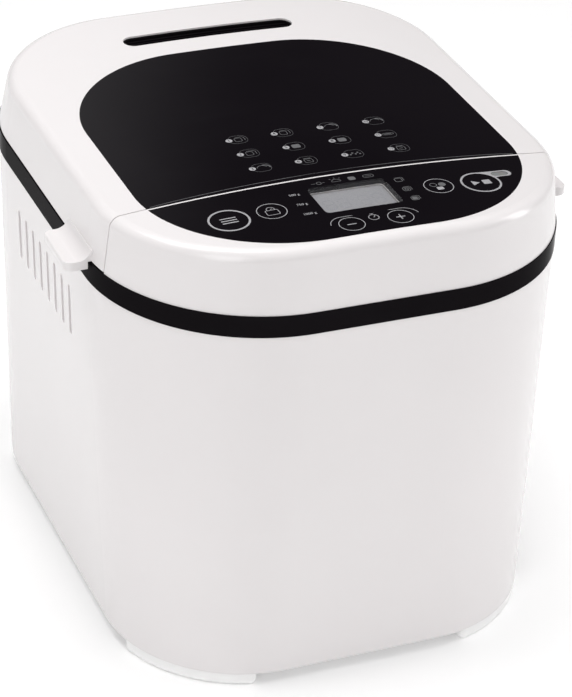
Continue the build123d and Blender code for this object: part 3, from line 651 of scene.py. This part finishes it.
def crease_y(x):
    bow = math.cos(x / (CREASE_HALF + 1) * math.pi / 2) ** 0.6
    return split_y(x) + 0.9 + CREASE_BOW * bow


crease_highlight = [(x, crease_y(x)) for x in range(-CREASE_HALF, CREASE_HALF + 1, CREASE_STEP)]
# A painted highlight: this grey line stands for the light that the crease catches, not for
# print.
lay("glass_crease_highlight", [stroke(crease_highlight, 0.32)], "lid_glass", "lid", DIM_PRINT_AND_HIGHLIGHT)

# ---- idle segments on the display cell

DIGIT_Y, DIGITS_X, COLON_X = -105.4, (-12.4, -5.0, 5.8, 13.2), 0.4
SEGMENT_LIFT = 0.02


def digit(x, y, wide=4.6, high=9.0, bar=0.8):
    half = high / 2
    bars = [rounded(x, y + dy, wide - 0.5, bar, 0.3, 3) for dy in (half, 0, -half)]
    posts = [rounded(x + sx * (wide / 2 + 0.2), y + sy * half / 2, bar, half - 1.0, 0.3, 3)
             for sx in (-1, 1) for sy in (-1, 1)]
    return [[loop] for loop in bars + posts]


segments = [[circle(COLON_X, DIGIT_Y + dy, 0.5, 16)] for dy in (2.2, -2.2)]
for x in DIGITS_X:
    segments += digit(x, DIGIT_Y)
lay("display_segments", segments, "lcd_module", "housing", SEGMENT, SEGMENT_LIFT)

# ---------------------------------------------------------------- stage and light

FLOOR_HALF = 5
FLOOR_DROP = 0.2 * MM
FLOOR_GLOW = 0.12
ROOM_STRENGTH = 0.30
CURTAIN_STRENGTH = 0.01
CURTAIN_TURN, CURTAIN_LIFT = 40, 34
CURTAIN_DARK, CURTAIN_BRIGHT = 17, 25
TARGET = Vector((0, 0, 0.13))


def make_floor():
    """A pale table, faintly lit from below so that its shadows stay light."""
    bm = bmesh.new()
    bmesh.ops.create_grid(bm, x_segments=12, y_segments=12, size=FLOOR_HALF)
    bmesh.ops.translate(bm, verts=bm.verts, vec=(0, 0, -FLOOR_DROP))
    mesh = bpy.data.meshes.new("floor")
    bm.to_mesh(mesh)
    bm.free()
    floor = bpy.data.objects.new("floor", mesh)
    bpy.context.scene.collection.objects.link(floor)
    s = Shader("floor_paper")
    s.colour(s.tones(s.noise(2, 3), (0.97, 0.97, 0.97), (0.985, 0.985, 0.985)))
    s.roughness(s.span(s.noise(200, 3), 0.75, 0.9))
    s.uniform(Emission_Color=(1, 1, 1, 1), Emission_Strength=FLOOR_GLOW)
    mesh.materials.append(s.material)


def make_world():
    """A white room with a dark curtain behind, on the side that the glass top mirrors."""
    world = bpy.data.worlds.new("studio")
    bpy.context.scene.world = world
    world.use_nodes = True
    tree = world.node_tree
    background = tree.nodes["Background"]
    background.inputs["Color"].default_value = (1.0, 0.99, 0.99, 1)
    place = tree.nodes.new("ShaderNodeTexCoord")
    toward = tree.nodes.new("ShaderNodeVectorMath")
    toward.operation = "DOT_PRODUCT"
    turn, lift = math.radians(CURTAIN_TURN), math.radians(CURTAIN_LIFT)
    toward.inputs[1].default_value = (math.sin(turn) * math.cos(lift),
                                      math.cos(turn) * math.cos(lift),
                                      math.sin(lift))
    tree.links.new(place.outputs["Generated"], toward.inputs[0])
    fall = tree.nodes.new("ShaderNodeMapRange")
    fall.interpolation_type = "SMOOTHSTEP"
    fall.inputs["From Min"].default_value = math.cos(math.radians(CURTAIN_DARK))
    fall.inputs["From Max"].default_value = math.cos(math.radians(CURTAIN_BRIGHT))
    fall.inputs["To Min"].default_value = CURTAIN_STRENGTH
    fall.inputs["To Max"].default_value = ROOM_STRENGTH
    tree.links.new(toward.outputs["Value"], fall.inputs["Value"])
    tree.links.new(fall.outputs["Result"], background.inputs["Strength"])


def softbox(name, at, wide, high, watts, mirrored=True):
    """A rectangular lamp that faces the object. Unmirrored, it doesn't show in gloss."""
    light = bpy.data.lights.new(name, "AREA")
    light.shape = "RECTANGLE"
    light.size, light.size_y = wide, high
    light.energy = watts
    lamp = bpy.data.objects.new(name, light)
    lamp.location = at
    lamp.rotation_euler = (TARGET - Vector(at)).to_track_quat("-Z", "Y").to_euler()
    lamp.visible_glossy = mirrored
    bpy.context.scene.collection.objects.link(lamp)


bpy.context.scene.view_settings.view_transform = "Standard"
make_floor()
make_world()
softbox("overhead", (0.3, 0.2, 2.8), 3.2, 3.2, 53, mirrored=False)
softbox("top_left", (-0.25, 0.05, 0.9), 0.4, 0.6, 2.2)
softbox("left_bank", (-1.2, -1.4, 0.8), 0.8, 1.4, 8.5)
softbox("right_bank", (1.8, -0.6, 0.6), 0.5, 1.4, 10)
